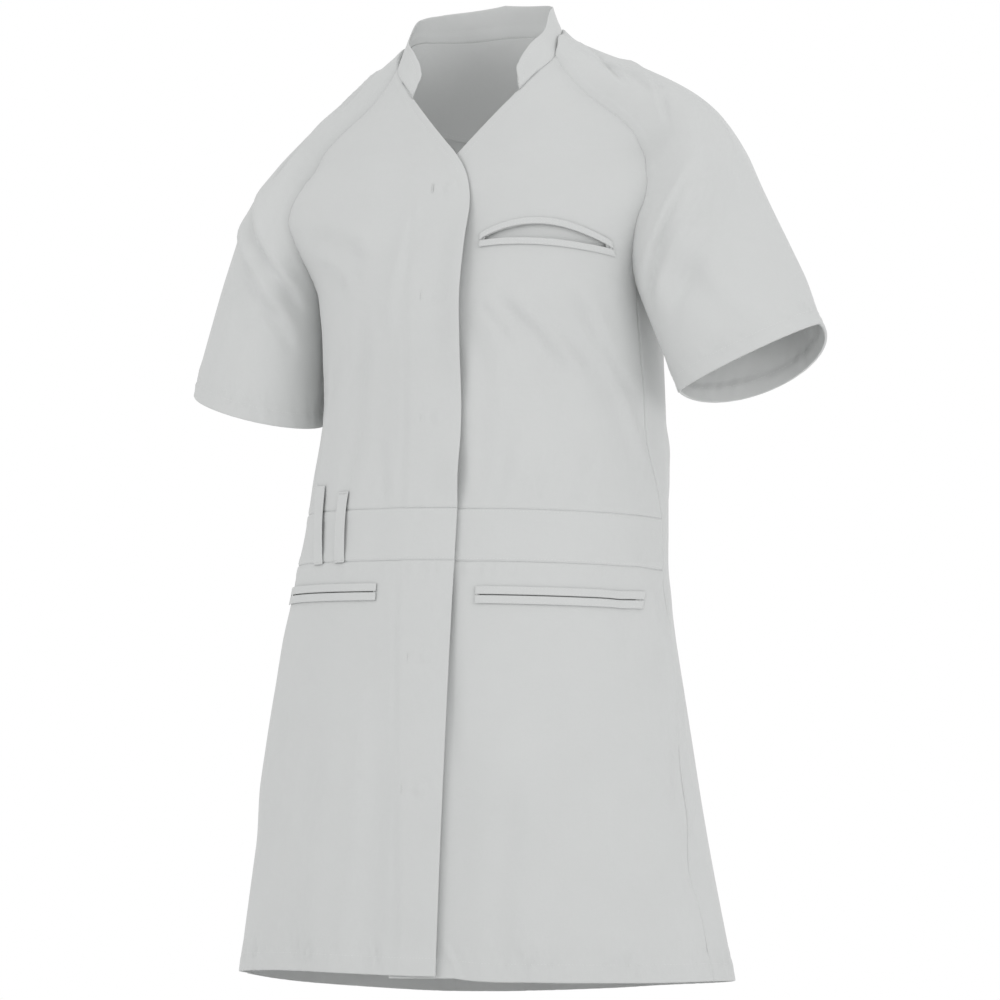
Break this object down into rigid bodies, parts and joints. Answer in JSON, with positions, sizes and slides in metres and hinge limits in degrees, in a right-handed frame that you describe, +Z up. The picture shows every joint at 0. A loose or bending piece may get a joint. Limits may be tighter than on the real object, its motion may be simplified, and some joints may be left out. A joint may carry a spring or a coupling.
{
  "type": "medical tunic",
  "caption": "Thigh-length work tunic, filled out as worn: short raglan sleeves, stand collar, V neck, concealed press-stud front, inset waistband, welt pockets.",
  "frame": {"origin": "the base of the wearer's neck, on the mid-plane, where the worn tunic is held", "axes": "+Z up, -Y towards the tunic's front, +X towards the wearer's left"},
  "size_m": [0.6077, 0.3151, 0.9038],
  "materials": {
    "tunic_cloth": "matt pale grey twill",
    "trim_cloth": "matt pale grey twill, the same cloth as the panels",
    "stud_metal": "plated metal"
  },
  "bodies": {
    "root": {"back": "tunic_cloth", "bodice_front_left": "tunic_cloth", "bodice_front_right": "tunic_cloth", "skirt_front_left": "tunic_cloth", "skirt_front_right": "tunic_cloth", "sleeve_left": "tunic_cloth", "sleeve_right": "tunic_cloth", "waistband_left": "trim_cloth", "waistband_right": "trim_cloth", "collar": "trim_cloth", "neck_facing": "trim_cloth", "chest_pocket_upper_welt": "trim_cloth", "chest_pocket_lower_welt": "trim_cloth", "chest_pocket_bag": "trim_cloth", "hip_pocket_left_upper_welt": "trim_cloth", "hip_pocket_left_lower_welt": "trim_cloth", "hip_pocket_left_bag": "trim_cloth", "hip_pocket_right_upper_welt": "trim_cloth", "hip_pocket_right_lower_welt": "trim_cloth", "hip_pocket_right_bag": "trim_cloth", "waist_loop_inner": "trim_cloth", "waist_loop_outer": "trim_cloth", "press_stud_1": "stud_metal", "press_stud_2": "stud_metal", "press_stud_3": "stud_metal", "press_stud_4": "stud_metal", "press_stud_5": "stud_metal", "press_stud_6": "stud_metal"}
  },
  "joints": []
}
